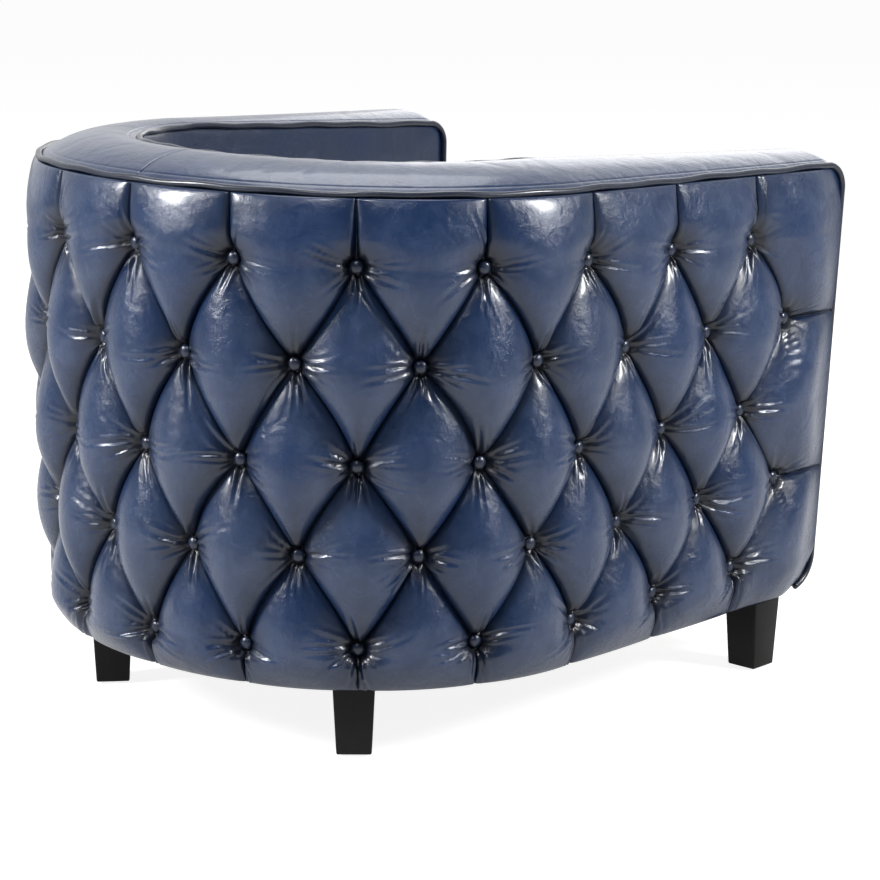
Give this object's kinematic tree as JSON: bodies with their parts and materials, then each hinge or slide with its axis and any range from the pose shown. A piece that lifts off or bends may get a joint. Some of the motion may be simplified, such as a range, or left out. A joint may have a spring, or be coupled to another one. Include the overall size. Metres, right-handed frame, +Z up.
{
  "type": "chesterfield armchair",
  "caption": "Low tub armchair with a wrap-round back and arms at one height, deep-buttoned leather outside, a crowned cap with welts, a loose seat cushion and tapered legs.",
  "frame": {"origin": "middle of the part's box, on the floor under the glides", "axes": "+Z up, +X to the sitter's left, -Y forwards out of the open seat"},
  "size_m": [0.858, 0.9024, 0.7212],
  "materials": {
    "leather": "waxed, glossy, antiqued navy",
    "welt": "waxed, near-black navy",
    "frame_wood": "bare sawn wood and ply",
    "leg_wood": "black satin lacquer",
    "steel": "zinc plated",
    "webbing": "woven elastic strap",
    "dust_cloth": "matt non-woven",
    "foam": "matt wadding over foam",
    "glide": "matt"
  },
  "bodies": {
    "chair": {"tufted_back": "leather", "tufted_arm_left": "leather", "tufted_arm_right": "leather", "buttons_back": "leather", "buttons_arm_left": "leather", "buttons_arm_right": "leather", "lining_back": "leather", "lining_arm_left": "leather", "lining_arm_right": "leather", "cap_left": "leather", "cap_right": "leather", "front_border": "leather", "outer_piping": "welt", "inner_piping": "welt", "base_ring": "frame_wood", "base_rail_front": "frame_wood", "border_board": "frame_wood", "seat_rail_front": "frame_wood", "seat_rails_arm_left": "frame_wood", "seat_rails_arm_right": "frame_wood", "seat_rails_back": "frame_wood", "back_posts": "frame_wood", "rear_corner_posts": "frame_wood", "arm_root_posts": "frame_wood", "arm_posts": "frame_wood", "front_post_left": "frame_wood", "front_post_right": "frame_wood", "top_ring": "frame_wood", "outer_board_back": "frame_wood", "outer_board_arm_left": "frame_wood", "outer_board_arm_right": "frame_wood", "inner_board_back": "frame_wood", "inner_board_arm_left": "frame_wood", "inner_board_arm_right": "frame_wood", "corner_blocks": "frame_wood", "leg_front_left": "leg_wood", "leg_front_right": "leg_wood", "leg_rear_left": "leg_wood", "leg_rear_right": "leg_wood", "hanger_bolts": "steel", "leg_nuts": "steel", "webbing_long": "webbing", "webbing_cross": "webbing", "dust_cover": "dust_cloth", "deck_pad": "foam", "glides": "glide"},
    "seat_cushion": {"cushion_cover": "leather", "cushion_core": "foam", "cushion_piping_bottom": "welt", "cushion_piping_top": "welt"}
  },
  "joints": [
    {"name": "cushion_lift", "type": "slide", "parent": "chair", "child": "seat_cushion", "axis": [0, 0, 1], "range_m": [0, 0.3]}
  ]
}
